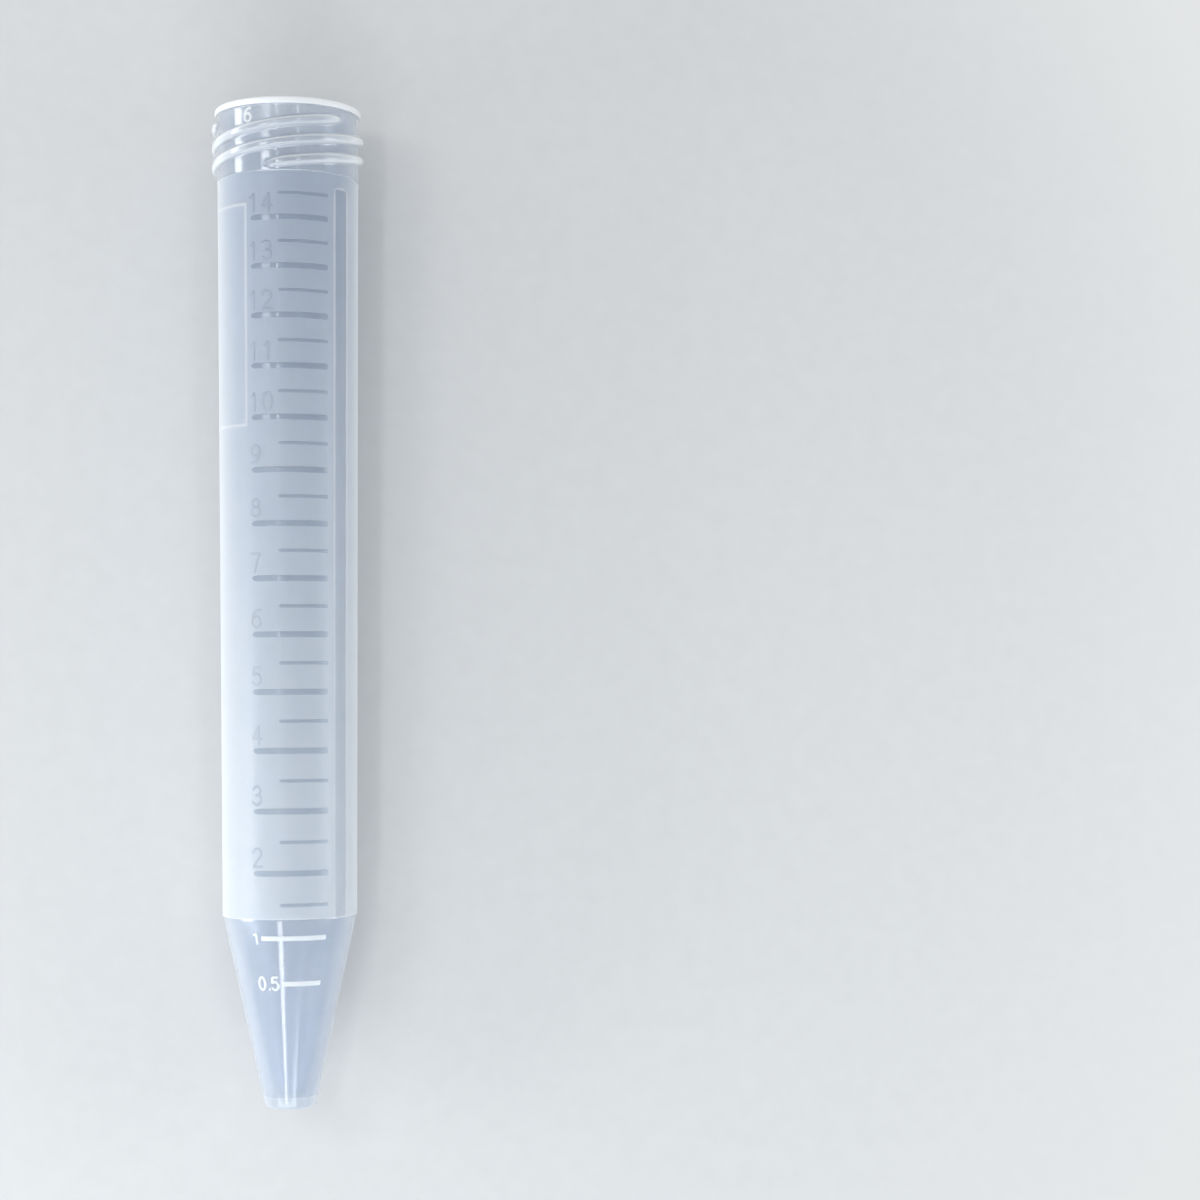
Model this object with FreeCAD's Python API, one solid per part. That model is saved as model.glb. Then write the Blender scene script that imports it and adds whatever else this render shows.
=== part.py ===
"""15 ml conical centrifuge tube, moulded in one piece: open mouth with a lip, a neck with a
three-start cap thread, a drafted body with volume marks, and a cone that ends in a small flat tip.

The tube is drawn upright, with its tip at Z = 0, and is then laid on its side the way it comes to
rest: mouth towards +Y, marks upwards, lying on the shoulder and on the crest of the thread.
"""
import FreeCAD, Part
import math
import os

# ---- driving dimensions, mm and degrees ----
LENGTH = 120.0             # tip to rim

# outside
TIP_RADIUS = 2.975         # cone carried down to the tip's plane
TIP_CORNER = 0.85          # round between the flat tip and the cone
SHOULDER_HEIGHT = 23.0     # where the frosted body ends above the cone
SHOULDER_RADIUS = 8.0
SHOULDER_STEP = 0.05       # small ledge left by the split between two mould halves
SHOULDER_ROUND = 0.8       # round from the body into the cone
SHOULDER_DROP = 0.15       # from the ledge down to where body line and cone line cross
NECK_HEIGHT = 8.8          # from the body's top to the rim
NECK_RADIUS = 8.58
BODY_TOP_RADIUS = 8.48
LIP_RADIUS = 8.8
LIP_HEIGHT = 0.8
LIP_CHAMFER = 0.25

# inside
FLOOR_THICKNESS = 1.51
FLOOR_RADIUS = 1.75
SHOULDER_WALL = 1.48
SEAL_RADIUS = 7.6          # short parallel land for the plug of a cap
SEAL_LENGTH = 7.0
MOUTH_CHAMFER = 0.35
BODY_TOP_WALL = 0.95

# cap thread
THREAD_STARTS = 3
THREAD_LEAD = 7.0
THREAD_DEPTH = 0.6
THREAD_BASE_WIDTH = 1.44
THREAD_CREST_WIDTH = 0.34
THREAD_SWEEP = 307.0       # length of one ridge about the axis
THREAD_FIRST_ANGLE = -17.0 # lower end of the first ridge, from the middle of the marks
THREAD_FIRST_HEIGHT = 0.8  # lower end of each ridge above the neck's base
THREAD_RUNOUT = 16.0       # stretch over which a ridge sinks into the neck at each end
THREAD_ROOT = 0.15         # how far a full ridge is carried into the neck's wall
THREAD_END_SINK = 0.1      # depth of the crest below the neck's surface at a ridge's ends
THREAD_BEND = 0.06         # fullness of the flanks where they turn into the crest
THREAD_BEND_SHARE = 0.72   # share of the depth at which they turn
THREAD_SECTIONS = 40       # outlines along one ridge

# volume marks, raised bars round part of the wall
MARK_RELIEF = 0.08
MARK_LEFT = -30.0          # angle about the axis of a long mark's ends
MARK_RIGHT = 35.5
HALF_MARK_LEFT = -7.0
CONE_MARK_LEFT = -25.0
MARK_WIDTH = 0.66
HALF_MARK_WIDTH = 0.38
CONE_MARK_WIDTH = 0.55
SMALLEST_MARK = 0.5        # ml
LARGEST_MARK = 14.5
MARK_STEP = 0.5

# blank writing panel, a raised frame beside the marks
PANEL_TOP_GAP = 3.6        # below the neck
PANEL_HEIGHT = 26.6
PANEL_RIGHT = -33.5
PANEL_SPAN = 46.0
PANEL_BORDER = 0.35

MOUTH = LENGTH
NECK_BASE = LENGTH - NECK_HEIGHT
SEAL_BASE = LENGTH - SEAL_LENGTH - MOUTH_CHAMFER
WALL_OVERLAP = 0.3         # how far raised details reach into the wall


def body_radius(height):
    """Outer radius of the drafted body."""
    share = (height - SHOULDER_HEIGHT) / (NECK_BASE - SHOULDER_HEIGHT)
    return SHOULDER_RADIUS + share * (BODY_TOP_RADIUS - SHOULDER_RADIUS)


def cone_top():
    """Radius and height where the cone's line meets the body's, below the ledge."""
    return SHOULDER_RADIUS - SHOULDER_STEP, SHOULDER_HEIGHT - SHOULDER_STEP - SHOULDER_DROP


def cone_radius(height):
    """Outer radius of the cone."""
    top_radius, top_height = cone_top()
    return TIP_RADIUS + (top_radius - TIP_RADIUS) * height / top_height


def outer_radius(height):
    return body_radius(height) if height > SHOULDER_HEIGHT else cone_radius(height)


def cavity_points():
    """Corners (radius, height) of the hollow from the floor to the seal land."""
    return [
        (FLOOR_RADIUS, FLOOR_THICKNESS),
        (SHOULDER_RADIUS - SHOULDER_WALL, SHOULDER_HEIGHT),
        (BODY_TOP_RADIUS - BODY_TOP_WALL, NECK_BASE),
        (SEAL_RADIUS, SEAL_BASE),
    ]


def frustum_volume(low_radius, high_radius, height):
    return math.pi * height * (low_radius**2 + low_radius * high_radius + high_radius**2) / 3


def cavity_volume(height):
    """Volume in mm3 that the upright tube holds when filled to this height."""
    total = 0.0
    points = cavity_points()
    for (low_radius, low), (high_radius, high) in zip(points, points[1:]):
        if height <= low:
            break
        level = min(height, high)
        level_radius = low_radius + (high_radius - low_radius) * (level - low) / (high - low)
        total += frustum_volume(low_radius, level_radius, level - low)
    return total


def fill_height(millilitres):
    """Height of the liquid's surface for a volume, found by halving."""
    low, high = FLOOR_THICKNESS, MOUTH
    while high - low > 1e-6:
        middle = (low + high) / 2
        if cavity_volume(middle) < 1000 * millilitres:
            low = middle
        else:
            high = middle
    return (low + high) / 2


def section_point(radius, height, angle=0.0):
    """Point at an angle about the axis; angle 0 faces -Y, the side of the marks."""
    turn = math.radians(angle)
    return FreeCAD.Vector(radius * math.sin(turn), -radius * math.cos(turn), height)


def rounded_outline(corners):
    """Closed wire in the angle 0 plane through corners (radius, height, round)."""
    points = [section_point(radius, height) for radius, height, _ in corners]
    stops = []
    for index, (_, _, corner_round) in enumerate(corners):
        corner = points[index]
        before = (points[index - 1] - corner).normalize()
        after = (points[(index + 1) % len(points)] - corner).normalize()
        if corner_round == 0:
            stops.append((corner, None, corner))
            continue
        half_angle = before.getAngle(after) / 2
        reach = corner_round / math.tan(half_angle)
        inward = (before + after).normalize()
        arc_middle = corner + inward * (corner_round / math.sin(half_angle) - corner_round)
        stops.append((corner + before * reach, arc_middle, corner + after * reach))
    edges = []
    for index, (start, arc_middle, end) in enumerate(stops):
        if arc_middle is not None:
            edges.append(Part.Arc(start, arc_middle, end).toShape())
        next_start = stops[(index + 1) % len(stops)][0]
        edges.append(Part.makeLine(end, next_start))
    return Part.Wire(edges)


def make_wall():
    """The tube without thread or marks, one turned outline."""
    cone_end_radius, cone_end_height = cone_top()
    neck_step = NECK_RADIUS - BODY_TOP_RADIUS
    lip_step = LIP_RADIUS - NECK_RADIUS
    corners = [
        (0, 0, 0),
        (TIP_RADIUS, 0, TIP_CORNER),
        (cone_end_radius, cone_end_height, SHOULDER_ROUND),
        (cone_end_radius, SHOULDER_HEIGHT - SHOULDER_STEP, 0),
        (SHOULDER_RADIUS, SHOULDER_HEIGHT, 0),
        (BODY_TOP_RADIUS, NECK_BASE, 0),
        (NECK_RADIUS, NECK_BASE + neck_step, 0),
        (NECK_RADIUS, MOUTH - LIP_HEIGHT - lip_step, 0),
        (LIP_RADIUS, MOUTH - LIP_HEIGHT, 0),
        (LIP_RADIUS, MOUTH - LIP_CHAMFER, 0),
        (LIP_RADIUS - LIP_CHAMFER, MOUTH, 0),
        (SEAL_RADIUS + MOUTH_CHAMFER, MOUTH, 0),
        (SEAL_RADIUS, MOUTH - MOUTH_CHAMFER, 0),
        (SEAL_RADIUS, SEAL_BASE, 0),
    ]
    for radius, height in reversed(cavity_points()[:-1]):
        corners.append((radius, height, 0))
    corners.append((0, FLOOR_THICKNESS, 0))
    outline = Part.Face(rounded_outline(corners))
    return outline.revolve(FreeCAD.Vector(0, 0, 0), FreeCAD.Vector(0, 0, 1), 360)


def thread_section(angle, height, rise):
    """Closed outline across a ridge, with a crest softened by two slanting edges."""
    half_base = THREAD_BASE_WIDTH / 2
    half_crest = THREAD_CREST_WIDTH / 2
    half_bend = (half_base + half_crest) / 2 + THREAD_BEND
    bend_depth = THREAD_DEPTH * THREAD_BEND_SHARE
    half_root = half_base + (half_base - half_bend) * THREAD_ROOT / bend_depth
    foot = NECK_RADIUS + rise - THREAD_DEPTH
    profile = [
        (foot - THREAD_ROOT, -half_root),
        (foot + bend_depth, -half_bend),
        (foot + THREAD_DEPTH, -half_crest),
        (foot + THREAD_DEPTH, half_crest),
        (foot + bend_depth, half_bend),
        (foot - THREAD_ROOT, half_root),
    ]
    points = [section_point(radius, height + offset, angle) for radius, offset in profile]
    return Part.makePolygon(points + points[:1])


def make_thread_ridge(first_angle):
    """One helical ridge that rises out of the neck and sinks back into it."""
    sections = []
    for step in range(THREAD_SECTIONS + 1):
        turned = THREAD_SWEEP * step / THREAD_SECTIONS
        to_end = min(turned, THREAD_SWEEP - turned)
        share = math.sin(min(1.0, to_end / THREAD_RUNOUT) * math.pi / 2)
        rise = share * THREAD_DEPTH - (1 - share) * THREAD_END_SINK
        height = NECK_BASE + THREAD_FIRST_HEIGHT + THREAD_LEAD * turned / 360
        sections.append(thread_section(first_angle + turned, height, rise))
    return Part.makeLoft(sections, True, False)


def make_raised_patch(low, high, left, right, relief, root=WALL_OVERLAP):
    """Curved plate that stands on the wall between two heights and two angles."""
    corners = [
        (outer_radius(low) - root, low),
        (outer_radius(low) + relief, low),
        (outer_radius(high) + relief, high),
        (outer_radius(high) - root, high),
    ]
    points = [section_point(radius, height, left) for radius, height in corners]
    outline = Part.Face(Part.makePolygon(points + points[:1]))
    return outline.revolve(FreeCAD.Vector(0, 0, 0), FreeCAD.Vector(0, 0, 1), right - left)


def make_marks():
    """Volume marks: long at each whole millilitre, short at each half."""
    marks = []
    for index in range(round((LARGEST_MARK - SMALLEST_MARK) / MARK_STEP) + 1):
        millilitres = SMALLEST_MARK + index * MARK_STEP
        height = fill_height(millilitres)
        whole = abs(millilitres - round(millilitres)) < 1e-6
        left = MARK_LEFT if whole else HALF_MARK_LEFT
        width = MARK_WIDTH if whole else HALF_MARK_WIDTH
        if height < SHOULDER_HEIGHT:
            left = CONE_MARK_LEFT if whole else HALF_MARK_LEFT
            width = CONE_MARK_WIDTH
        low, high = height - width / 2, height + width / 2
        marks.append(make_raised_patch(low, high, left, MARK_RIGHT, MARK_RELIEF))
    return marks


def make_panel():
    """Raised border of the blank writing panel."""
    top = NECK_BASE - PANEL_TOP_GAP
    bottom = top - PANEL_HEIGHT
    left = PANEL_RIGHT - PANEL_SPAN
    border_angle = math.degrees(PANEL_BORDER / body_radius((top + bottom) / 2))
    plate = make_raised_patch(bottom, top, left, PANEL_RIGHT, MARK_RELIEF)
    window = make_raised_patch(bottom + PANEL_BORDER, top - PANEL_BORDER, left + border_angle,
                               PANEL_RIGHT - border_angle, 2 * MARK_RELIEF, 2 * WALL_OVERLAP)
    return plate.cut(window)


def crest_contact_height():
    """Lowest height at which a full ridge crosses the underside, opposite the marks."""
    heights = []
    for start in range(THREAD_STARTS):
        turned = (180 - THREAD_FIRST_ANGLE - 360 * start / THREAD_STARTS) % 360
        if THREAD_RUNOUT <= turned <= THREAD_SWEEP - THREAD_RUNOUT:
            heights.append(NECK_BASE + THREAD_FIRST_HEIGHT + THREAD_LEAD * turned / 360)
    return min(heights) - THREAD_CREST_WIDTH / 2


def lay_down(tube):
    """Turn the upright tube onto its shoulder and thread, over the middle of its footprint."""
    rise = NECK_RADIUS + THREAD_DEPTH - SHOULDER_RADIUS
    tilt = math.degrees(math.atan2(rise, crest_contact_height() - SHOULDER_HEIGHT))
    lying = tube.copy()
    lying.rotate(FreeCAD.Vector(0, 0, 0), FreeCAD.Vector(1, 0, 0), tilt - 90)
    box = lying.optimalBoundingBox(False)
    middle = FreeCAD.Vector((box.XMin + box.XMax) / 2, (box.YMin + box.YMax) / 2, box.ZMin)
    lying.translate(middle.negative())
    return lying


def make_tube():
    ridges = []
    for start in range(THREAD_STARTS):
        ridges.append(make_thread_ridge(THREAD_FIRST_ANGLE + 360 * start / THREAD_STARTS))
    upright = make_wall().fuse(ridges + make_marks() + [make_panel()])
    return lay_down(upright)


os.makedirs("parts", exist_ok=True)
make_tube().exportStep("parts/tube.step")
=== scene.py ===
"""Looks for a 15 ml conical centrifuge tube that lies on a pale floor, seen from above.

The moulded tube is rebuilt as one closed, finer skin over the CAD solid: rings of points run from
the tip up the outside, over the lip and down the inside to the floor of the hollow. Sizes are in
millimetres, as in the tube's drawing, with the tip at height 0; angles run about the axis, in
degrees, from the middle of the marks.
"""
import math

import bpy
import numpy as np
from mathutils import Matrix, Vector


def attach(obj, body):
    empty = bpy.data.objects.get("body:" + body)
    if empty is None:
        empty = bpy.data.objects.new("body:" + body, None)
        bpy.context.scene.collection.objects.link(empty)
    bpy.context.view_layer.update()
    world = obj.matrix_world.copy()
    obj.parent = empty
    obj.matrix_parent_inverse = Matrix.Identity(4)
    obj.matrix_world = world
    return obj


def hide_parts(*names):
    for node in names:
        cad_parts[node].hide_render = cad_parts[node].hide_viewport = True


MM = 0.001

# ---- outside of the tube ----
LENGTH = 120.0
TIP_RADIUS = 2.975
TIP_CORNER = 0.85
TIP_HALF_TURN = 38.8       # about half of the angle through which the tip's corner turns
SHOULDER_HEIGHT = 23.0
SHOULDER_RADIUS = 8.0
SHOULDER_STEP = 0.05
SHOULDER_ROUND = 0.8
SHOULDER_DROP = 0.15
NECK_HEIGHT = 8.8
NECK_RADIUS = 8.58
BODY_TOP_RADIUS = 8.48
LIP_RADIUS = 8.8
LIP_HEIGHT = 0.8
LIP_ROUND = 0.25
LIP_SWELL_DROP = 0.2       # the neck starts to swell this far below the lip
LIP_SWELL_SPAN = 0.3       # height over which it reaches the lip's radius
LEDGE_BEVEL = 0.012        # at the shoulder's ledge
NECK_FOOT_BEVEL = 0.02     # at the step from the body to the neck

# ---- inside ----
FLOOR_THICKNESS = 1.51
FLOOR_RADIUS = 1.75
FLOOR_ROUND = 0.7
SHOULDER_WALL = 1.48
SEAL_RADIUS = 7.6
SEAL_LENGTH = 7.0
MOUTH_ROUND = 0.35
BODY_TOP_WALL = 0.95

# ---- cap thread ----
THREAD_STARTS = 3
THREAD_LEAD = 7.0
THREAD_DEPTH = 0.59
THREAD_BASE_WIDTH = 1.5
THREAD_END_WIDTH = 0.55    # width of a ridge's foot at its very ends, as a share of the full one
THREAD_FLANK = 1.25        # power that broadens the bell across a ridge
THREAD_FULLNESS = 0.85     # power that fills out the bell's flanks
THREAD_CREST_CUT = 1.12    # the bell is this many times too high, and its top is cut flat
THREAD_SWEEP = 307.0
THREAD_FIRST_ANGLE = -17.0
THREAD_FIRST_HEIGHT = 0.8
THREAD_RUNOUT = 16.0
THREAD_TOP_GAP = 0.22      # the thread's fine rings end this far below the lip

# ---- the solid's own thread, on whose crest the tube rests ----
SOLID_THREAD_DEPTH = 0.6
SOLID_CREST_WIDTH = 0.34

# ---- marks, panel and sight strip ----
MARK_STEP = 0.5            # millilitres
MARK_COUNT = 29
MARK_RELIEF = 0.04
MARK_BEVEL = 0.05
MARK_LEFT = -30.0
MARK_RIGHT = 35.5
HALF_MARK_LEFT = -7.0
CONE_MARK_LEFT = -25.0
MARK_WIDTH = 0.60
HALF_MARK_WIDTH = 0.30
CONE_MARK_WIDTH = 0.48
MARK_CAPS = (2.4, 1.0)     # lengths of a bar's rounded left and right ends, in half widths
CONE_MARK_CAPS = (0.25, 0.25)
CAP_LEAST_WIDTH = 0.12     # width at the very end of a bar, as a share of the full one
PANEL_TOP_GAP = 3.6
PANEL_HEIGHT = 26.6
PANEL_RIGHT = -33.5
PANEL_SPAN = 46.0
PANEL_BORDER = 0.35
STRIP_LEFT = 42.0
STRIP_RIGHT = 57.0
STRIP_TOP_GAP = 1.6
STRIP_BORDER = 0.16
STRIP_RELIEF = 0.04
STRIP_CORNER = 0.8         # radius of its upper corners, as a share of half its width

# ---- numerals: heights, strokes and gaps in mm, places in degrees ----
NUMBER_SIZE = 2.1
NUMBER_STROKE = 0.34
NUMBER_RELIEF = 0.03
NUMBER_GAP = 0.5           # from a mark up to the foot of its numeral
ONE_FIGURE_ANGLE = -26.8   # middle of a numeral with one figure
TWO_FIGURE_ANGLE = -22.0
LAST_CLEAR_NUMBER = 3      # the numerals above this one are fainter
SIGN_RELIEF = 0.05         # of the signs on the cone and on the neck
# name, text, middle angle, height of its foot, height of its figures, width of its strokes
SMALL_SIGNS = (("number_1", "1", -30.0, 20.1, 1.3, 0.30),
               ("number_half", "0.5", -22.0, 14.6, 1.5, 0.30),
               ("spot", "^", -4.0, 17.4, 1.0, 0.16),
               ("cavity_number", "6", -31.7, 117.2, 1.6, 0.32))

# ---- fineness of the skin ----
COLUMN_COUNT = 168         # vertical lines spread evenly round the tube
COLUMN_CLEARANCE = 0.6     # least angle from one of them to a line that an edge needs
CAP_COLUMNS = 6            # lines across the rounded end of a bar
CAP_MARGIN = 0.3           # angle from a bar's end to the next line outside it
CONE_STEP = 0.9            # largest distance between rings
BODY_STEP = 1.6
THREAD_STEP = 0.085
HOLLOW_STEP = 3
SHARP_ANGLE = 32.0         # edges that turn more than this stay sharp

# ---- surroundings, in metres: the floor turns into the backdrop away from the tube ----
BACKDROP = (0.80, 0.815, 0.82, 1)
FADE_START = 0.09
FADE_END = 0.16
FLOOR_SIZE = 40.0
SKY_COLOUR = (0.90, 0.95, 1.0, 1)
SKY_STRENGTH = 0.50

# ---- camera: place in mm from the frame's origin, and the way it looks and is held ----
CAMERA_PLACE = (9.153, -16.594, 316.07)
CAMERA_FORWARD = (0.09209, 0.0553, -0.99421)
CAMERA_UP = (0.00411, 0.99843, 0.05591)
CAMERA_LENS = 76.08
CAMERA_SENSOR = 36.0

NECK_BASE = LENGTH - NECK_HEIGHT
SEAL_BASE = LENGTH - SEAL_LENGTH - MOUTH_ROUND
CONE_TOP_RADIUS = SHOULDER_RADIUS - SHOULDER_STEP
CONE_TOP = SHOULDER_HEIGHT - SHOULDER_STEP - SHOULDER_DROP
TIP_FLAT_RADIUS = TIP_RADIUS - TIP_CORNER * math.tan(math.radians(TIP_HALF_TURN))
LIP_BASE = LENGTH - LIP_HEIGHT
SMOOTH_BAND = (NECK_BASE + 0.5, LIP_BASE - 0.3)    # heights between which the thread has no sharp edge

# ---- finish of a stretch of wall: index into the tube's material slots ----
# the near-white finish of the lip, the mouth's inner round and the shoulder's ledge is a painted
# highlight
FROSTED, CLEAR, WHITE, PAINTED_GLINT, MARK, STRIP, LINE, TIP = range(8)
RISE = "rise"     # name of the vertex value that is 1 on the threads' crests and 0 elsewhere


# ======================================================================================
# form
# ======================================================================================
def body_radius(height):
    """Outer radius of the drafted body, without what is raised on it."""
    share = (height - SHOULDER_HEIGHT) / (NECK_BASE - SHOULDER_HEIGHT)
    return SHOULDER_RADIUS + share * (BODY_TOP_RADIUS - SHOULDER_RADIUS)


def cone_radius(height):
    """Outer radius of the cone."""
    return TIP_RADIUS + (CONE_TOP_RADIUS - TIP_RADIUS) * height / CONE_TOP


def wall_radius(height):
    """Outer radius of the plain wall at any height below the lip."""
    if height > NECK_BASE:
        return NECK_RADIUS
    return body_radius(height) if height > SHOULDER_HEIGHT else cone_radius(height)


def cavity_volume(height):
    """Volume in ml that the upright tube holds when filled to this height."""
    points = [(FLOOR_RADIUS, FLOOR_THICKNESS),
              (SHOULDER_RADIUS - SHOULDER_WALL, SHOULDER_HEIGHT),
              (BODY_TOP_RADIUS - BODY_TOP_WALL, NECK_BASE)]
    total = 0.0
    for (low_r, low), (high_r, high) in zip(points, points[1:]):
        level = min(max(height, low), high)
        level_r = low_r + (high_r - low_r) * (level - low) / (high - low)
        # a third of a cone's base and height, and 1000 cubic millimetres to a millilitre
        total += math.pi * (level - low) * (low_r**2 + low_r * level_r + level_r**2) / 3000
    return total


def fill_height(millilitres):
    """Height of the liquid's surface for a volume, found by halving."""
    low, high = FLOOR_THICKNESS, NECK_BASE
    for _ in range(40):
        middle = (low + high) / 2
        low, high = (middle, high) if cavity_volume(middle) < millilitres else (low, middle)
    return middle


class Mark:
    """One volume mark: where it is, how wide, and between which angles."""

    def __init__(self, millilitres):
        whole = abs(millilitres - round(millilitres)) < 1e-6
        self.whole = whole
        self.millilitres = millilitres
        self.height = fill_height(millilitres)
        self.on_cone = self.height < SHOULDER_HEIGHT
        self.right = MARK_RIGHT
        self.left = MARK_LEFT if whole else HALF_MARK_LEFT
        self.width = MARK_WIDTH if whole else HALF_MARK_WIDTH
        self.finish = MARK
        if self.on_cone:
            self.left = CONE_MARK_LEFT if whole else HALF_MARK_LEFT
            self.width = CONE_MARK_WIDTH
            self.finish = WHITE

    def end_caps(self):
        """Angles taken by the rounded left and right ends of the bar."""
        shares = CONE_MARK_CAPS if self.on_cone else MARK_CAPS
        half = math.degrees(self.width / 2 / wall_radius(self.height))
        return [share * half for share in shares]

    def half_width(self, angle):
        """Half the bar's width at an angle: it closes along an ellipse towards each end."""
        left_cap, right_cap = self.end_caps()
        inside = min((angle - self.left) / left_cap, (self.right - angle) / right_cap)
        if inside >= 1 or inside < 0:
            return self.width / 2
        return self.width / 2 * max(CAP_LEAST_WIDTH, math.sqrt(1 - (1 - inside)**2))

    def covers(self, angle):
        """Whether the bar reaches over an angle."""
        return self.left < angle < self.right


MARKS = [Mark(MARK_STEP * step) for step in range(1, MARK_COUNT + 1)]


def panel_edges():
    """Lower and upper height, left and right angle of the writing panel."""
    top = NECK_BASE - PANEL_TOP_GAP
    return top - PANEL_HEIGHT, top, PANEL_RIGHT - PANEL_SPAN, PANEL_RIGHT


def thread_rise(angle, height):
    """How far the thread stands out of the neck at a point."""
    best = 0.0
    for start in range(THREAD_STARTS):
        first = THREAD_FIRST_ANGLE + 360 * start / THREAD_STARTS
        turned = (angle - first) % 360
        if turned > THREAD_SWEEP:
            continue
        to_end = min(turned, THREAD_SWEEP - turned)
        share = math.sin(min(1.0, to_end / THREAD_RUNOUT) * math.pi / 2)
        centre = NECK_BASE + THREAD_FIRST_HEIGHT + THREAD_LEAD * turned / 360
        width = THREAD_BASE_WIDTH * (THREAD_END_WIDTH + (1 - THREAD_END_WIDTH) * share)
        across = abs(height - centre) / (width / 2)
        if across < 1:
            # a bell with a round foot and a top that is cut flat
            bell = 0.5 + 0.5 * math.cos(math.pi * across**THREAD_FLANK)
            rise = min(1.0, THREAD_CREST_CUT * bell**THREAD_FULLNESS)
            best = max(best, share * THREAD_DEPTH * rise)
    return best


def arc(centre, radius, start, end, steps):
    """Points (radius, height) along a round, angles in degrees from the outward direction."""
    turns = [math.radians(start + (end - start) * i / steps) for i in range(steps + 1)]
    return [(centre[0] + radius * math.cos(t), centre[1] + radius * math.sin(t)) for t in turns]


def spaced(low, high, step):
    """Heights between two ends, both left out, no further apart than a step."""
    count = max(1, math.ceil(abs(high - low) / step))
    return [low + (high - low) * i / count for i in range(1, count)]


def columns():
    """Angles of the skin's vertical lines: even all round, with more at ends of marks."""
    angles = set(round(i * 360 / COLUMN_COUNT - 180, 4) for i in range(COLUMN_COUNT))
    # one long and one short bar on the cone, then one of each on the body
    bars = [MARKS[1], MARKS[0], MARKS[3], MARKS[4]]
    extra = []
    for bar in bars:
        left_cap, right_cap = bar.end_caps()
        for i in range(CAP_COLUMNS):
            part = 1 - math.cos(math.radians(90 / (CAP_COLUMNS - 1) * i))
            extra += [bar.left + left_cap * part, bar.right - right_cap * part]
        extra += [bar.left - CAP_MARGIN, bar.right + CAP_MARGIN]
    _, high, left, right = panel_edges()
    border = math.degrees(PANEL_BORDER / body_radius(high))
    extra += [left, left + border / 3, left + border * 2 / 3, left + border]
    extra += [right, right - border / 3, right - border * 2 / 3, right - border]
    edge = math.degrees(STRIP_BORDER / body_radius(high))
    for side in (STRIP_LEFT, STRIP_RIGHT):
        extra += [side - edge, side - edge / 2, side, side + edge / 2, side + edge]
    kept = sorted(set(round(a, 4) for a in extra))
    even = [a for a in angles if min(abs(a - b) for b in kept) > COLUMN_CLEARANCE]
    return np.array(sorted(kept + even))


class Row:
    """One ring of the skin: its plain radius and height, and the mark edge it follows."""

    def __init__(self, radius, height, outside=True, mark=None, side=0, bevel=0.0):
        self.radius, self.height, self.outside = radius, height, outside
        self.mark, self.side, self.bevel = mark, side, bevel

    def height_at(self, angle):
        """Height of the ring at an angle, which follows a bar's rounded ends."""
        if self.mark is None:
            return self.height
        return self.mark.height + self.side * (self.mark.half_width(angle) + self.bevel)


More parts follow.
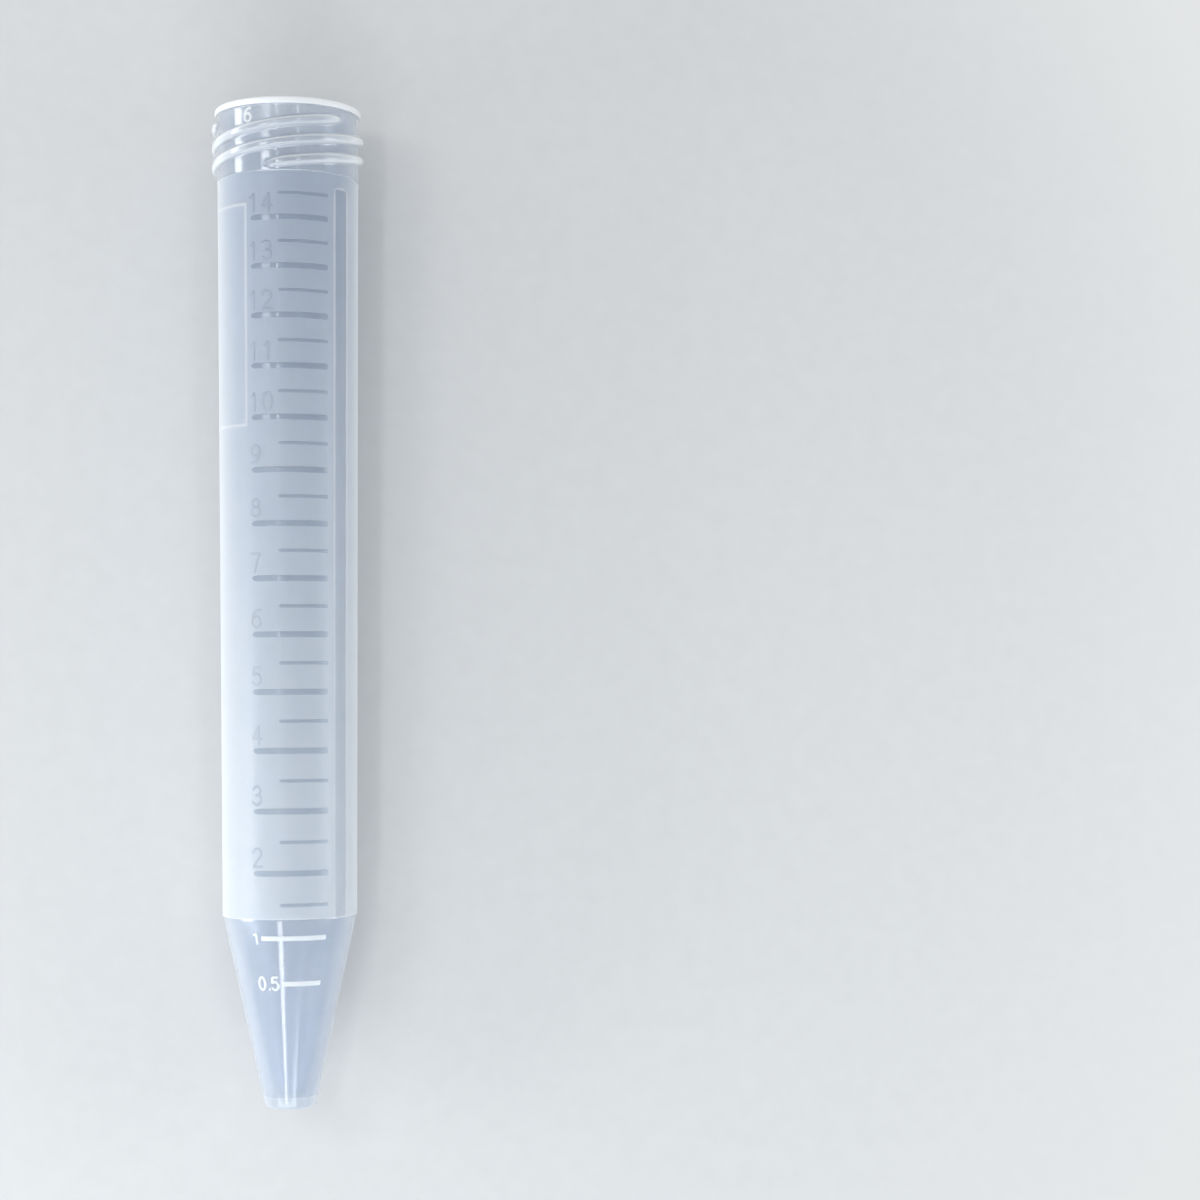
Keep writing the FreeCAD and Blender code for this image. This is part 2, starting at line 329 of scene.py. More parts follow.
def outside_rows():
    """Rings from the middle of the tip to the top of the lip."""
    lean = math.degrees(math.atan((CONE_TOP_RADIUS - TIP_RADIUS) / CONE_TOP))
    rows = [Row(TIP_FLAT_RADIUS * share, 0.0) for share in (0.0, 0.5, 0.85)]
    rows += [Row(*p) for p in arc((TIP_FLAT_RADIUS, TIP_CORNER), TIP_CORNER, -90, -lean, 8)]
    corner_end = rows[-1].height
    # rings that an edge needs; those without a radius take the plain wall's further down
    stops = []
    for mark in MARKS:
        for side, bevel in ((-1, MARK_BEVEL), (-1, 0.0), (1, 0.0), (1, MARK_BEVEL)):
            height = mark.height + side * (mark.width / 2 + bevel)
            stops.append(Row(None, height, True, mark, side, bevel))
    bottom, top, _, _ = panel_edges()
    for edge, inward in ((bottom, 1), (top, -1)):
        for share in (0, 1 / 3, 2 / 3, 1):
            stops.append(Row(None, edge + inward * PANEL_BORDER * share))
    strip_top = NECK_BASE - STRIP_TOP_GAP
    for offset in (-STRIP_BORDER, -STRIP_BORDER / 2, 0, STRIP_BORDER / 2, STRIP_BORDER):
        stops.append(Row(None, strip_top + offset))
    # the shoulder: a small round, then the ledge
    reach = SHOULDER_ROUND * math.tan(math.radians(lean / 2))
    centre = (CONE_TOP_RADIUS - SHOULDER_ROUND, CONE_TOP + reach)
    stops += [Row(r, h) for r, h in arc(centre, SHOULDER_ROUND, -lean, 0, 4)]
    stops.append(Row(CONE_TOP_RADIUS, SHOULDER_HEIGHT - SHOULDER_STEP))
    stops.append(Row(SHOULDER_RADIUS - LEDGE_BEVEL, SHOULDER_HEIGHT - LEDGE_BEVEL))
    stops.append(Row(SHOULDER_RADIUS, SHOULDER_HEIGHT + LEDGE_BEVEL))
    # the step from the body to the neck
    neck_foot = NECK_BASE - NECK_FOOT_BEVEL
    stops.append(Row(body_radius(neck_foot), neck_foot))
    stops.append(Row(BODY_TOP_RADIUS + NECK_FOOT_BEVEL, NECK_BASE))
    stops.append(Row(NECK_RADIUS, NECK_BASE + NECK_RADIUS - BODY_TOP_RADIUS))
    stops.sort(key=lambda row: row.height)
    neck_low = stops[-1].height
    previous = corner_end
    for stop in stops:
        step = CONE_STEP if stop.height <= CONE_TOP else BODY_STEP
        for height in spaced(previous, stop.height, step):
            rows.append(Row(wall_radius(height), height))
        if stop.radius is None:
            stop.radius = wall_radius(stop.height)
        rows.append(stop)
        previous = stop.height
    # the thread, the swell from the neck into the lip, and the lip
    thread_top = LIP_BASE - THREAD_TOP_GAP
    rows += [Row(NECK_RADIUS, height) for height in spaced(neck_low, thread_top, THREAD_STEP)]
    swell = LIP_RADIUS - NECK_RADIUS
    for i in range(7):
        turn = math.pi * i / 6
        height = LIP_BASE - LIP_SWELL_DROP + LIP_SWELL_SPAN * i / 6
        rows.append(Row(NECK_RADIUS + swell * (1 - math.cos(turn)) / 2, height))
    rows += [Row(*p) for p in arc((LIP_RADIUS - LIP_ROUND, LENGTH - LIP_ROUND), LIP_ROUND, 0, 90, 6)]
    return rows


def inside_rows():
    """Rings from the lip's inner edge down to the middle of the hollow's floor."""
    mouth = arc((SEAL_RADIUS + MOUTH_ROUND, LENGTH - MOUTH_ROUND), MOUTH_ROUND, 90, 180, 6)
    rows = [Row(r, h, False) for r, h in mouth]
    corners = [(SEAL_RADIUS, SEAL_BASE),
               (BODY_TOP_RADIUS - BODY_TOP_WALL, NECK_BASE),
               (SHOULDER_RADIUS - SHOULDER_WALL, SHOULDER_HEIGHT)]
    previous = mouth[-1]
    for corner in corners:
        count = max(1, round(abs(previous[1] - corner[1]) / HOLLOW_STEP))
        for i in range(1, count + 1):
            share = i / count
            rows.append(Row(previous[0] + (corner[0] - previous[0]) * share,
                            previous[1] + (corner[1] - previous[1]) * share, False))
        previous = corner
    lean = math.atan((previous[0] - FLOOR_RADIUS) / (previous[1] - FLOOR_THICKNESS))
    reach = FLOOR_ROUND * math.tan((math.pi / 2 - lean) / 2)
    centre = (FLOOR_RADIUS - reach, FLOOR_THICKNESS + FLOOR_ROUND)
    start = (centre[0] + FLOOR_ROUND * math.cos(lean), centre[1] - FLOOR_ROUND * math.sin(lean))
    count = 10
    for i in range(1, count):
        share = i / count
        rows.append(Row(previous[0] + (start[0] - previous[0]) * share,
                        previous[1] + (start[1] - previous[1]) * share, False))
    rows += [Row(r, h, False) for r, h in arc(centre, FLOOR_ROUND, -math.degrees(lean), -90, 6)]
    rows += [Row(centre[0] * 0.5, FLOOR_THICKNESS, False), Row(0.0, FLOOR_THICKNESS, False)]
    return rows


def ridge(distance, width, height):
    """Height of a small rounded rib at a distance from its middle."""
    across = abs(distance) / (width / 2)
    return height * math.sqrt(1 - across**2) if across < 1 else 0.0


def frame_rise(angle, height):
    """Relief of the writing panel's border."""
    low, high, left, right = panel_edges()
    scale = math.radians(1) * body_radius(height)
    inset = min((angle - left) * scale, (right - angle) * scale, height - low, high - height)
    return ridge(inset - PANEL_BORDER / 2, PANEL_BORDER, MARK_RELIEF)


def strip_distance(angle, height):
    """Distance in mm into the sight strip from its edge, with rounded upper corners."""
    scale = math.radians(1) * body_radius(height)
    middle = (STRIP_LEFT + STRIP_RIGHT) / 2
    half = (STRIP_RIGHT - STRIP_LEFT) / 2 * scale
    corner = half * STRIP_CORNER
    across = abs(angle - middle) * scale - (half - corner)
    up = height - (NECK_BASE - STRIP_TOP_GAP - corner)
    if across > 0 and up > 0:
        return corner - math.hypot(across, up)
    return corner - max(across, up)


def make_tube():
    """The whole moulding as one closed mesh."""
    rows = outside_rows() + inside_rows()
    angles = columns()
    points = []
    rises = []
    starts = []
    for row in rows:
        starts.append(len(points))
        if row.radius == 0.0:
            points.append((0.0, 0.0, row.height))
            rises.append(0.0)
            continue
        for angle in angles:
            height = row.height_at(angle)
            radius = row.radius
            if row.mark is not None:
                radius = wall_radius(height)
                if row.mark.covers(angle) and row.bevel == 0.0:
                    radius += MARK_RELIEF
            if row.outside and SHOULDER_HEIGHT < height < NECK_BASE:
                radius += frame_rise(angle, height)
                radius += ridge(strip_distance(angle, height), 2 * STRIP_BORDER, STRIP_RELIEF)
            rise = 0.0
            if row.outside and NECK_BASE < height < LIP_BASE:
                rise = thread_rise(angle, height)
            radius += rise
            rises.append(rise / THREAD_DEPTH)
            turn = math.radians(angle)
            points.append((radius * math.sin(turn), -radius * math.cos(turn), height))
    faces = []
    finishes = []
    count = len(angles)
    middles = (angles + np.append(angles[1:], angles[0] + 360)) / 2
    for low, high, a, b in zip(rows, rows[1:], starts, starts[1:]):
        for i in range(count):
            j = (i + 1) % count
            if low.radius == 0.0:
                faces.append((a, b + j, b + i))
            elif high.radius == 0.0:
                faces.append((a + i, a + j, b))
            else:
                faces.append((a + i, a + j, b + j, b + i))
            finishes.append(face_finish(low, high, middles[i]))
    tube = skin("tube_skin", points, faces, finishes, SMOOTH_BAND)
    tube.data.attributes.new(RISE, "FLOAT", "POINT").data.foreach_set("value", rises)
    return tube


def face_finish(low, high, angle):
    """Which finish a face of the skin has."""
    height = (low.height + high.height) / 2
    if not low.outside or not high.outside:
        # the floor of the hollow is painted white: a painted highlight; the mouth's inner round is
        # painted near-white: a painted highlight
        if height < FLOOR_THICKNESS + FLOOR_ROUND / 2:
            return WHITE
        return PAINTED_GLINT if height > LENGTH - MOUTH_ROUND else CLEAR
    mark = low.mark
    if mark is not None and mark is high.mark and mark.covers(angle):
        return mark.finish
    # the lip is painted near-white: a painted highlight
    if height > LIP_BASE:
        return PAINTED_GLINT
    if height > NECK_BASE:
        return CLEAR
    # the shoulder's ledge is painted near-white: a painted highlight
    if abs(height - SHOULDER_HEIGHT) < SHOULDER_STEP:
        return PAINTED_GLINT
    if height < SHOULDER_HEIGHT:
        return TIP if height < FLOOR_THICKNESS else CLEAR
    inside_strip = strip_distance(angle, height)
    # the panel's border and the strip's edges are real ribs, painted paler than the wall: a painted
    # highlight along them
    if frame_rise(angle, height) > 0 or abs(inside_strip) < STRIP_BORDER:
        return LINE
    return STRIP if inside_strip > 0 else FROSTED


def skin(name, points, faces, finishes, smooth_band=None):
    """A smooth mesh whose sharp corners stay sharp, but for those in a band of heights."""
    mesh = bpy.data.meshes.new(name)
    mesh.from_pydata(points, [], faces)
    mesh.validate()
    mesh.polygons.foreach_set("material_index", finishes)
    mesh.polygons.foreach_set("use_smooth", [True] * len(faces))
    mesh.set_sharp_from_angle(angle=math.radians(SHARP_ANGLE))
    if smooth_band is not None:
        heights = np.array([point[2] for point in points])
        within = (heights > smooth_band[0]) & (heights < smooth_band[1])
        ends = np.zeros(2 * len(mesh.edges), dtype=np.int32)
        mesh.edges.foreach_get("vertices", ends)
        sharp = np.zeros(len(mesh.edges), dtype=bool)
        mesh.edges.foreach_get("use_edge_sharp", sharp)
        sharp &= ~within[ends.reshape(-1, 2)].all(axis=1)
        mesh.edges.foreach_set("use_edge_sharp", sharp)
    mesh.update()
    thing = bpy.data.objects.new(name, mesh)
    bpy.context.scene.collection.objects.link(thing)
    return thing


def resting_place():
    """Matrix from the upright tube in mm to the lying tube in metres."""
    # it rests on the shoulder and on the lower edge of the second ridge's crest, at the back
    turned = 180 - THREAD_FIRST_ANGLE - 360 / THREAD_STARTS
    crest = NECK_BASE + THREAD_FIRST_HEIGHT + THREAD_LEAD * turned / 360
    crest -= SOLID_CREST_WIDTH / 2
    rise = NECK_RADIUS + SOLID_THREAD_DEPTH - SHOULDER_RADIUS
    tilt = math.atan2(rise, crest - SHOULDER_HEIGHT)
    overhang = LIP_RADIUS - LIP_ROUND - TIP_FLAT_RADIUS
    span = LENGTH * math.cos(tilt) + overhang * math.sin(tilt)
    lift = SHOULDER_RADIUS * math.cos(tilt) - SHOULDER_HEIGHT * math.sin(tilt)
    place = Matrix.Translation((0, -span / 2 * MM, lift * MM))
    return place @ Matrix.Rotation(tilt - math.pi / 2, 4, "X") @ Matrix.Scale(MM, 4)


# ======================================================================================
# numerals
# ======================================================================================
def bow(cx, cy, rx, ry, start, end, steps):
    """Part of an ellipse, angles in degrees counter-clockwise from the right."""
    turns = [math.radians(start + (end - start) * i / steps) for i in range(steps + 1)]
    return [(cx + rx * math.cos(t), cy + ry * math.sin(t)) for t in turns]


# advance from one sign to the next, and the gap that it holds, as shares of their height
SIGN_ADVANCE = 0.82
POINT_ADVANCE = 0.26
SIGN_GAP = 0.22

# corners of a stroke that turn more than this are cut, from this far away
CORNER_ANGLE = 28.0
CORNER_REACH = 0.07

# section of a stroke: how deep its foot is sunk, and where its sides bend, in half widths
STROKE_SINK = 0.03
STROKE_SHOULDER = 0.92
STROKE_FLAT = 0.6
STROKE_END_TURNS = (0.15, 0.55, 1.05)    # radians round a stroke's end, from its tip

# strokes of each sign in a box 0.6 wide and 1 high
SIGNS = {
    "0": [bow(0.3, 0.5, 0.26, 0.5, 90, 450, 28)],
    "1": [[(0.12, 0.78), (0.24, 0.86), (0.34, 1.0), (0.34, 0.0)]],
    "2": [bow(0.3, 0.73, 0.26, 0.27, 165, -40, 12) + [(0.04, 0.0), (0.58, 0.0)]],
    "3": [bow(0.28, 0.76, 0.24, 0.24, 150, -90, 12), bow(0.28, 0.27, 0.28, 0.27, 85, -150, 12)],
    "4": [[(0.44, 0.0), (0.44, 1.0), (0.02, 0.3), (0.6, 0.3)]],
    "5": [[(0.52, 1.0), (0.13, 1.0), (0.08, 0.54)] + bow(0.29, 0.32, 0.27, 0.32, 125, -150, 14)],
    "6": [bow(0.5, 0.5, 0.46, 0.5, 85, 180, 8) + bow(0.3, 0.31, 0.26, 0.31, 180, 540, 24)],
    "7": [[(0.04, 1.0), (0.56, 1.0), (0.38, 0.6), (0.24, 0.0)]],
    "8": [bow(0.3, 0.76, 0.22, 0.24, -90, 270, 20), bow(0.3, 0.27, 0.27, 0.27, -90, 270, 20)],
    "9": [bow(0.3, 0.69, 0.26, 0.31, 0, 360, 24) + bow(0.1, 0.5, 0.46, 0.5, 0, -95, 8)],
    ".": [[(0.1, 0.02), (0.1, 0.05)]],
    "^": [[(0.0, 0.0), (0.12, 0.22), (0.24, 0.0), (0.05, 0.0)]],
}


def softened(path):
    """The path with each of its sharp corners cut by a short curve."""
    done = [path[0]]
    for before, corner, after in zip(path, path[1:], path[2:]):
        into = Vector(corner) - Vector(before)
        out = Vector(after) - Vector(corner)
        if into.angle(out) < math.radians(CORNER_ANGLE):
            done.append(corner)
            continue
        bend = Vector(corner)
        start = bend - into.normalized() * min(CORNER_REACH, into.length / 2)
        end = bend + out.normalized() * min(CORNER_REACH, out.length / 2)
        for share in (0.0, 0.25, 0.5, 0.75, 1.0):
            point = start.lerp(bend, share).lerp(bend.lerp(end, share), share)
            done.append(tuple(point))
    return done + [path[-1]]


def stroke_solid(path, width, relief):
    """A closed rib along a flat path: points (along, up, out) and faces."""
    half = width / 2
    spots = [Vector(p) for p in path]
    first = (spots[0] - spots[1]).normalized()
    last = (spots[-1] - spots[-2]).normalized()
    sections = [(spots[0] + first * half * math.cos(t), first * -1, math.sin(t))
                for t in STROKE_END_TURNS]
    for i, spot in enumerate(spots):
        ahead = spots[min(i + 1, len(spots) - 1)] - spots[max(i - 1, 0)]
        sections.append((spot, ahead.normalized(), 1.0))
    sections += [(spots[-1] + last * half * math.cos(t), last, math.sin(t))
                 for t in reversed(STROKE_END_TURNS)]
    shape = [(-1.0, -STROKE_SINK), (-STROKE_SHOULDER, relief / 2), (-STROKE_FLAT, relief),
             (STROKE_FLAT, relief), (STROKE_SHOULDER, relief / 2), (1.0, -STROKE_SINK)]
    points, faces = [], []
    for spot, ahead, share in sections:
        across = Vector((-ahead.y, ahead.x))
        for side, out in shape:
            place = spot + across * side * half * share
            points.append((place.x, place.y, out))
    ring = len(shape)
    for a in range(0, len(points) - ring, ring):
        for i in range(ring):
            j = (i + 1) % ring
            faces.append((a + i, a + ring + i, a + ring + j, a + j))
    faces.append(tuple(range(ring)))
    faces.append(tuple(reversed(range(len(points) - ring, len(points)))))
    return points, faces


def make_number(name, text, centre, foot, size, width, relief):
    """A numeral on the wall.

    centre: angle of its middle; foot: height of its foot; size: height of its figures;
    width and relief: of its strokes.
    """
    steps = [POINT_ADVANCE if sign == "." else SIGN_ADVANCE for sign in text]
    along = -(sum(steps) - SIGN_GAP) * size / 2
    points, faces = [], []
    for sign, step in zip(text, steps):
        for path in SIGNS[sign]:
            flat = [(x * size + along, y * size) for x, y in softened(path)]
            new_points, new_faces = stroke_solid(flat, width, relief)
            start = len(points)
            points += new_points
            faces += [tuple(start + i for i in face) for face in new_faces]
        along += step * size
    wrapped = []
    for x, y, out in points:
        height = foot + y
        radius = wall_radius(height)
        turn = math.radians(centre) + x / radius
        wrapped.append(((radius + out) * math.sin(turn), -(radius + out) * math.cos(turn), height))
    return skin(name, wrapped, faces, [0] * len(faces))


# ======================================================================================
# materials
# ======================================================================================
MILK = (0.90, 0.925, 0.945)      # tint of plastic that is seen edge-on
MILK_TRANSMISSION = 0.1
PLASTIC_IOR = 1.49
COAT_ROUGHNESS = 0.04
SHEEN_ROUGHNESS = 0.25
CLOUD_SCALE = 260.0              # clouds of tint per metre
PATCH_SCALE = 900.0              # patches of gloss per metre
NOISE_RANGE = (0.3, 0.7)         # stretch of the noise that is used
MOUTH_SHADE_RANGE = (-0.045, 0.055)     # metres along the lying tube: from none of the mouth's painted shade to all of it
RIM_RANGE = (0.30, 0.85)         # how far a wall turns from the eye: where it turns milky
CREST_RIM_RANGE = (0.12, 0.55)   # the same for the threads
CREST_RANGE = (0.05, 0.6)        # rise of a thread: from the neck's colour to the crest's


def add(nodes, kind, **settings):
    """A new node; each setting is a property of its own, or else the value of an input."""
    node = nodes.new(kind)
    for key, value in settings.items():
        if hasattr(node, key):
            setattr(node, key, value)
        else:
            node.inputs[key.replace("_", " ")].default_value = value
    return node


def ranged(nodes, links, source, low, high, out_low, out_high):
    """The source carried from one range to another, held at its ends."""
    node = add(nodes, "ShaderNodeMapRange")
    node.inputs["From Min"].default_value = low
    node.inputs["From Max"].default_value = high
    node.inputs["To Min"].default_value = out_low
    node.inputs["To Max"].default_value = out_high
    links.new(source, node.inputs["Value"])
    return node.outputs["Result"]


def blend(nodes, links, factor, base, colour, kind="MIX"):
    """The base colour with another laid over it by a factor."""
    node = add(nodes, "ShaderNodeMix", data_type="RGBA", blend_type=kind)
    links.new(factor, node.inputs[0])
    links.new(base, node.inputs[6])
    node.inputs[7].default_value = (*colour, 1)
    return node.outputs[2]


def plastic(name, pale, deep, transmission, rough, bump, grain, coat=0.0, sheen=0.0, edge=0.0,
            mouth=(1.0, 1.0, 1.0), crest=None):
    """Translucent moulded plastic with cloudy tint, uneven gloss and a fine grain.

    pale and deep: the two tints; rough: lowest and highest roughness; bump: depth of the
    grain in metres; grain: number of grains per metre; coat: weight of the smooth skin on
    top; sheen: weight of the pale edge of a frosted surface; edge: how milky the wall turns
    where it is seen edge-on, through more plastic; mouth: painted shade, a tone that darkens
    the tint towards the mouth end of the lying tube; crest: colour of the threads, which also
    turn milky sooner.
    """
    material = bpy.data.materials.new(name)
    material.use_nodes = True
    nodes, links = material.node_tree.nodes, material.node_tree.links
    shader = nodes["Principled BSDF"]
    shader.inputs["IOR"].default_value = PLASTIC_IOR
    shader.inputs["Coat Weight"].default_value = coat
    shader.inputs["Coat Roughness"].default_value = COAT_ROUGHNESS
    shader.inputs["Sheen Weight"].default_value = sheen
    shader.inputs["Sheen Roughness"].default_value = SHEEN_ROUGHNESS
    where = add(nodes, "ShaderNodeTexCoord")
    cloud = add(nodes, "ShaderNodeTexNoise", Scale=CLOUD_SCALE, Detail=4.0, Roughness=0.6)
    links.new(where.outputs["Object"], cloud.inputs["Vector"])
    tint = add(nodes, "ShaderNodeValToRGB")
    for element, position, colour in zip(tint.color_ramp.elements, NOISE_RANGE, (deep, pale)):
        element.position = position
        element.color = (*colour, 1)
    links.new(cloud.outputs["Fac"], tint.inputs["Fac"])
    split = add(nodes, "ShaderNodeSeparateXYZ")
    links.new(where.outputs["Object"], split.inputs["Vector"])
    # painted shade: the tint is darkened towards the mouth end of the lying tube, by the tone given as
    # mouth
    up = ranged(nodes, links, split.outputs["Y"], *MOUTH_SHADE_RANGE, 0.0, 1.0)
    shaded_tint = blend(nodes, links, up, tint.outputs["Color"], mouth, "MULTIPLY")
    view = add(nodes, "ShaderNodeLayerWeight", Blend=0.5)
    rim = ranged(nodes, links, view.outputs["Facing"], *RIM_RANGE, 0.0, edge)
    if crest is not None:
        rise = add(nodes, "ShaderNodeAttribute", attribute_name=RISE)
        raised = ranged(nodes, links, rise.outputs["Fac"], *CREST_RANGE, 0.0, 1.0)
        shaded_tint = blend(nodes, links, raised, shaded_tint, crest)
        sooner = ranged(nodes, links, view.outputs["Facing"], *CREST_RIM_RANGE, 0.0, 1.0)
        thick = add(nodes, "ShaderNodeMath", operation="MULTIPLY")
        links.new(raised, thick.inputs[0])
        links.new(sooner, thick.inputs[1])
        more = add(nodes, "ShaderNodeMath", operation="MAXIMUM")
        links.new(rim, more.inputs[0])
        links.new(thick.outputs["Value"], more.inputs[1])
        rim = more.outputs["Value"]
    milky = blend(nodes, links, rim, shaded_tint, MILK)
    links.new(milky, shader.inputs["Base Color"])
    clear = ranged(nodes, links, rim, 0.0, 1.0, transmission, MILK_TRANSMISSION)
    links.new(clear, shader.inputs["Transmission Weight"])
    patches = add(nodes, "ShaderNodeTexNoise", Scale=PATCH_SCALE, Detail=6.0, Roughness=0.65)
    links.new(where.outputs["Object"], patches.inputs["Vector"])
    gloss = ranged(nodes, links, patches.outputs["Fac"], *NOISE_RANGE, *rough)
    links.new(gloss, shader.inputs["Roughness"])
    pits = add(nodes, "ShaderNodeTexNoise", Scale=grain, Detail=3.0, Roughness=0.55)
    links.new(where.outputs["Object"], pits.inputs["Vector"])
    relief = add(nodes, "ShaderNodeBump", Strength=1.0, Distance=bump)
    links.new(pits.outputs["Fac"], relief.inputs["Height"])
    links.new(relief.outputs["Normal"], shader.inputs["Normal"])
    return material


# ======================================================================================
# studio
# ======================================================================================
def softbox(name, place, aim, wide, high, power, colour=(1, 1, 1)):
    """A soft rectangular lamp that shines from a place towards a point, in metres and watts."""
    light = bpy.data.lights.new(name, "AREA")
    light.shape = "RECTANGLE"
    light.size, light.size_y = wide, high
    light.energy = power
    light.color = colour
    thing = bpy.data.objects.new(name, light)
    thing.location = place
    thing.rotation_mode = "QUATERNION"
    forward = (Vector(aim) - Vector(place)).normalized()
    along = (Vector((0, 1, 0)) - forward * forward.y).normalized()
    across = along.cross(forward)
    thing.rotation_quaternion = Matrix((along, across, -forward)).transposed().to_quaternion()
    thing.visible_camera = False
    bpy.context.scene.collection.objects.link(thing)


def seen_directly(nodes, links):
    """Socket that is 1 for rays that look at a thing, and 0 for rays that light others."""
    path = add(nodes, "ShaderNodeLightPath")
    first = add(nodes, "ShaderNodeMath", operation="ADD")
    links.new(path.outputs["Is Camera Ray"], first.inputs[0])
    links.new(path.outputs["Is Glossy Ray"], first.inputs[1])
    both = add(nodes, "ShaderNodeMath", operation="ADD", use_clamp=True)
    links.new(first.outputs["Value"], both.inputs[0])
    links.new(path.outputs["Is Transmission Ray"], both.inputs[1])
    return both.outputs["Value"]


def make_floor():
    """Pale paper that fades into the pale backdrop away from the tube."""
    bpy.ops.mesh.primitive_plane_add(size=FLOOR_SIZE, location=(0, 0, 0))
    floor = bpy.context.object
    floor.name = "floor"
    material = bpy.data.materials.new("floor_paper")
    material.use_nodes = True
    nodes, links = material.node_tree.nodes, material.node_tree.links
    shader = nodes["Principled BSDF"]
    shader.inputs["Roughness"].default_value = 0.9
    shader.inputs["Specular IOR Level"].default_value = 0.1
    where = add(nodes, "ShaderNodeTexCoord")
    fibres = add(nodes, "ShaderNodeTexNoise", Scale=400.0, Detail=5.0)
    links.new(where.outputs["Object"], fibres.inputs["Vector"])
    tint = add(nodes, "ShaderNodeValToRGB")
    tint.color_ramp.elements[0].color = (0.70, 0.70, 0.695, 1)
    tint.color_ramp.elements[1].color = (0.75, 0.75, 0.745, 1)
    links.new(fibres.outputs["Fac"], tint.inputs["Fac"])
    links.new(tint.outputs["Color"], shader.inputs["Base Color"])
    reach = add(nodes, "ShaderNodeVectorMath", operation="LENGTH")
    links.new(where.outputs["Object"], reach.inputs[0])
    fade = add(nodes, "ShaderNodeMapRange", interpolation_type="SMOOTHSTEP")
    fade.inputs["From Min"].default_value = FADE_START
    fade.inputs["From Max"].default_value = FADE_END
    links.new(reach.outputs["Value"], fade.inputs["Value"])
    share = add(nodes, "ShaderNodeMath", operation="MULTIPLY")
    links.new(fade.outputs["Result"], share.inputs[0])
    links.new(seen_directly(nodes, links), share.inputs[1])
    glow = add(nodes, "ShaderNodeEmission")
    glow.inputs["Color"].default_value = BACKDROP
    mix = add(nodes, "ShaderNodeMixShader")
    links.new(share.outputs["Value"], mix.inputs["Fac"])
    links.new(shader.outputs["BSDF"], mix.inputs[1])
    links.new(glow.outputs["Emission"], mix.inputs[2])
    links.new(mix.outputs["Shader"], nodes["Material Output"].inputs["Surface"])
    floor.data.materials.append(material)


def make_world():
    """Dim sky for lighting, pale backdrop where it is looked at."""
    world = bpy.data.worlds.new("studio")
    world.use_nodes = True
    nodes, links = world.node_tree.nodes, world.node_tree.links
    sky = nodes["Background"]
    sky.inputs["Color"].default_value = SKY_COLOUR
    sky.inputs["Strength"].default_value = SKY_STRENGTH
    backdrop = add(nodes, "ShaderNodeBackground")
    backdrop.inputs["Color"].default_value = BACKDROP
    mix = add(nodes, "ShaderNodeMixShader")
    links.new(seen_directly(nodes, links), mix.inputs["Fac"])
    links.new(sky.outputs["Background"], mix.inputs[1])
    links.new(backdrop.outputs["Background"], mix.inputs[2])
    links.new(mix.outputs["Shader"], nodes["World Output"].inputs["Surface"])
    bpy.context.scene.world = world


def make_camera():
    """The camera that looks down on the tube."""
    data = bpy.data.cameras.new("camera")
    data.sensor_width = CAMERA_SENSOR
    data.lens = CAMERA_LENS
    data.clip_start, data.clip_end = 0.01, 10.0
    camera = bpy.data.objects.new("camera", data)
    forward = Vector(CAMERA_FORWARD).normalized()
    right = forward.cross(Vector(CAMERA_UP)).normalized()
    up = right.cross(forward)
    turn = Matrix((right, up, -forward)).transposed().to_4x4()
    camera.matrix_world = Matrix.Translation(Vector(CAMERA_PLACE) * MM) @ turn
    bpy.context.scene.collection.objects.link(camera)
    bpy.context.scene.camera = camera


# ======================================================================================
# scene
# ======================================================================================
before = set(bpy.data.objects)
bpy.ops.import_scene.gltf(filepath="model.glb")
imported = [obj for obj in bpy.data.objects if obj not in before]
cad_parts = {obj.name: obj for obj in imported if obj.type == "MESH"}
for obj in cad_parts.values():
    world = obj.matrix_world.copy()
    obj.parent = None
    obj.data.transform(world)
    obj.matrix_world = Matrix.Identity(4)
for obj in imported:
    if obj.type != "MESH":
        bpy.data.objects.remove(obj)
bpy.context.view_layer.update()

MOUTH_PAINTED_SHADE = (0.60, 0.64, 0.72)     # painted shade: a frosted wall's tint is darkened by this towards the mouth end of the lying tube
# lowest and highest roughness
FROSTED_ROUGH = (0.42, 0.55)
SMOOTH_ROUGH = (0.30, 0.40)
GLOSSY_ROUGH = (0.10, 0.16)
# depth of the grain, in metres
GRAIN = 0.00001
FINE_GRAIN = 0.000004
# each look's mouth tone is painted shade, which darkens it towards the mouth end
FROST_LOOK = plastic("frosted_wall", (0.91, 0.96, 1.0), (0.87, 0.93, 0.98), 0.48,
                     FROSTED_ROUGH, GRAIN, 4000.0, sheen=0.35, edge=0.8, mouth=MOUTH_PAINTED_SHADE)
# near-white paint for the lip, the mouth's inner round and the shoulder's ledge: a painted highlight
PAINTED_GLINT_LOOK = plastic("painted_glint_edge", (0.99, 0.995, 1.0), (0.95, 0.97, 0.985), 0.12,
                    (0.40, 0.50), GRAIN, 4000.0, sheen=0.7)
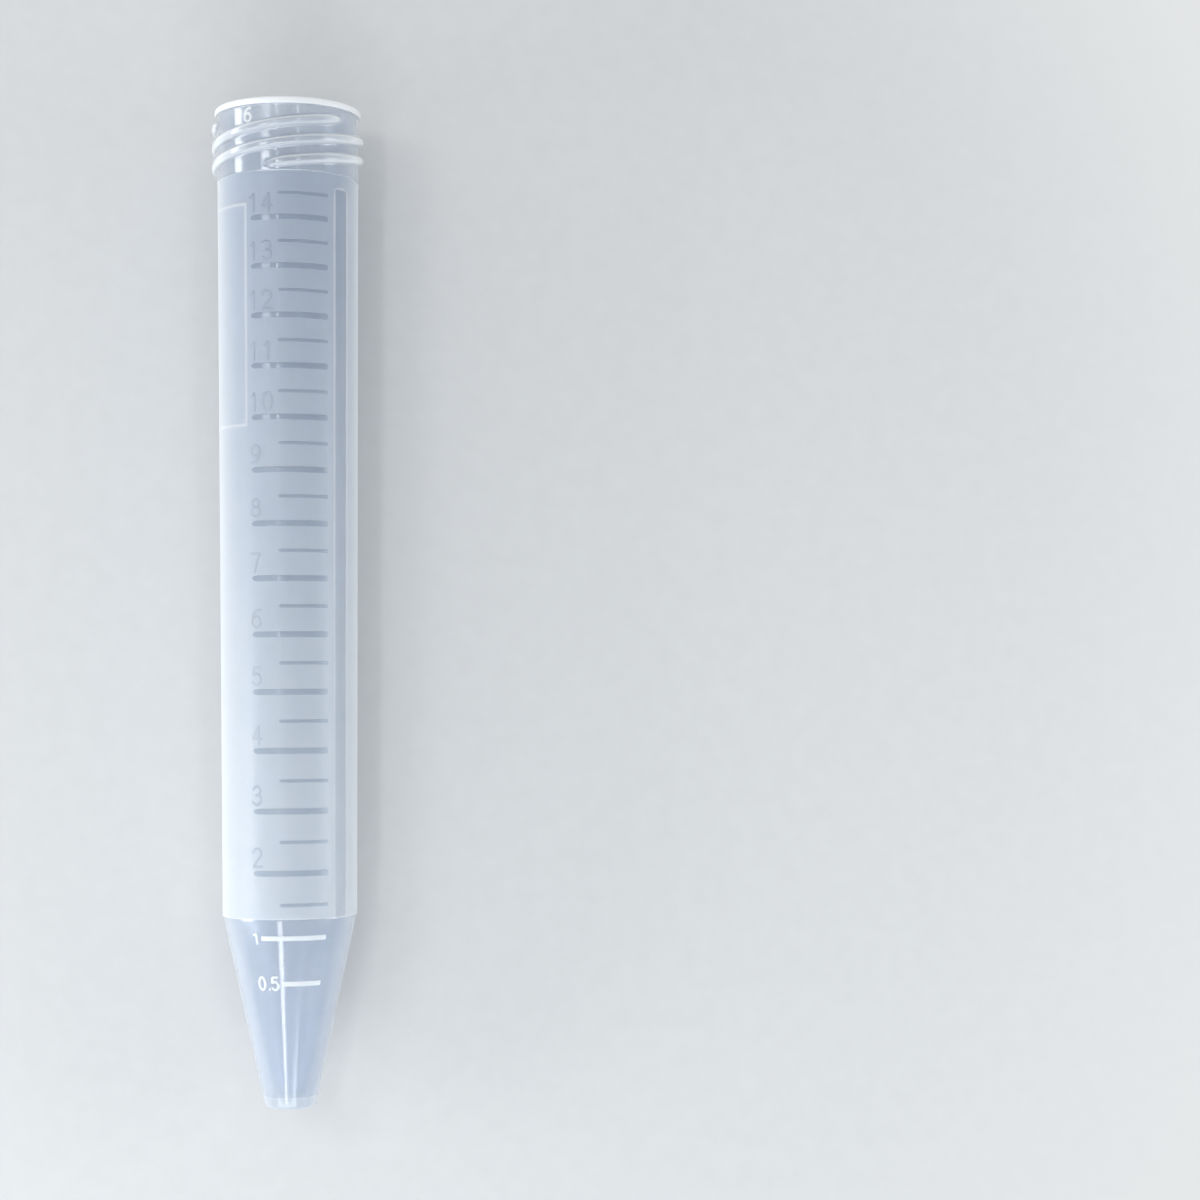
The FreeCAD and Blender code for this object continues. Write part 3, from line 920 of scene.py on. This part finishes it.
# paler than the frosted wall, for the ribs of the panel's border and the strip's edges: a painted
# highlight along the ribs
LINE_LOOK = plastic("frosted_line_painted_highlight", (0.92, 0.96, 1.0), (0.87, 0.92, 0.97), 0.45,
                    FROSTED_ROUGH, GRAIN, 4000.0, sheen=0.8, edge=0.9, mouth=(0.84, 0.85, 0.87))
STRIP_LOOK = plastic("smooth_strip", (0.87, 0.92, 0.97), (0.82, 0.88, 0.94), 0.60,
                     SMOOTH_ROUGH, GRAIN, 4000.0, sheen=0.3, edge=0.6, mouth=MOUTH_PAINTED_SHADE)
MARK_LOOK = plastic("raised_mark", (0.68, 0.76, 0.84), (0.62, 0.70, 0.79), 0.60,
                    SMOOTH_ROUGH, FINE_GRAIN, 2000.0, coat=0.7, edge=0.4, mouth=MOUTH_PAINTED_SHADE)
NUMBER_LOOK = plastic("pressed_number", (0.82, 0.875, 0.94), (0.76, 0.82, 0.90), 0.58,
                      SMOOTH_ROUGH, GRAIN, 3000.0, sheen=0.4, mouth=MOUTH_PAINTED_SHADE)
FAINT_LOOK = plastic("faint_number", (0.87, 0.92, 0.975), (0.82, 0.875, 0.945), 0.53,
                     (0.34, 0.44), GRAIN, 3000.0, sheen=0.4, mouth=MOUTH_PAINTED_SHADE)
CLEAR_LOOK = plastic("glossy_wall", (0.78, 0.85, 0.965), (0.72, 0.80, 0.925), 0.66,
                     GLOSSY_ROUGH, FINE_GRAIN, 500.0, coat=1.0, edge=0.45,
                     mouth=(0.89, 0.89, 0.88), crest=(0.77, 0.825, 0.90))
TIP_LOOK = plastic("solid_tip", (0.82, 0.88, 0.96), (0.76, 0.83, 0.92), 0.58,
                   GLOSSY_ROUGH, FINE_GRAIN, 500.0, coat=1.0, edge=0.55)
# white frost of the signs and the cone's marks, also painted on the floor of the hollow, where it is a
# painted highlight
WHITE_LOOK = plastic("frosted_sign_and_floor_glint", (0.92, 0.95, 0.97), (0.87, 0.91, 0.94), 0.15,
                     (0.45, 0.6), GRAIN, 6000.0)

tube = make_tube()
# in the order of the finishes' indices
for look in (FROST_LOOK, CLEAR_LOOK, WHITE_LOOK, PAINTED_GLINT_LOOK, MARK_LOOK, STRIP_LOOK,
             LINE_LOOK, TIP_LOOK):
    tube.data.materials.append(look)

signs = []
for mark in MARKS:
    if not mark.whole or mark.on_cone:
        continue
    text = str(round(mark.millilitres))
    foot = mark.height + mark.width / 2 + NUMBER_GAP
    centre = ONE_FIGURE_ANGLE if len(text) == 1 else TWO_FIGURE_ANGLE
    sign = make_number(f"number_{text}", text, centre, foot,
                       NUMBER_SIZE, NUMBER_STROKE, NUMBER_RELIEF)
    clear = mark.millilitres <= LAST_CLEAR_NUMBER
    sign.data.materials.append(NUMBER_LOOK if clear else FAINT_LOOK)
    signs.append(sign)
for name, text, centre, foot, size, width in SMALL_SIGNS:
    sign = make_number(name, text, centre, foot, size, width, SIGN_RELIEF)
    sign.data.materials.append(WHITE_LOOK)
    signs.append(sign)

place = resting_place()
for piece in [tube] + signs:
    piece.data.transform(place)
    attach(piece, "root")
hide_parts("tube")

make_floor()
make_camera()
softbox("left_window", (-0.22, -0.055, 0.055), (0, -0.04, 0.01), 0.13, 0.09, 0.235)
softbox("neck_window", (-0.25, 0.13, 0.034), (0, 0.07, 0.01), 0.10, 0.062, 0.10)
softbox("neck_light", (-0.20, 0.09, 0.30), (0, 0.05, 0.01), 0.08, 0.08, 0.10)
softbox("back_light", (-0.06, 0.38, 0.13), (0, 0.06, 0.01), 0.60, 0.60, 0.28)
softbox("front_fill", (-0.05, -0.28, 0.17), (0, -0.04, 0), 0.16, 0.40, 0.50, (0.87, 0.94, 1.0))
softbox("right_fill", (0.28, -0.02, 0.08), (0, -0.02, 0.01), 0.16, 0.12, 0.22)
softbox("left_strip", (-0.17, 0.045, 0.6), (0, 0.045, 0.01), 0.24, 0.04, 0.24)
softbox("cone_strip", (-0.185, -0.43, 0.6), (0, -0.43, 0.01), 0.20, 0.10, 0.31)
softbox("right_strip", (0.187, 0.1, 0.6), (0, 0.1, 0.01), 0.6, 0.03, 0.15)

make_world()
bpy.context.scene.view_settings.view_transform = "Standard"
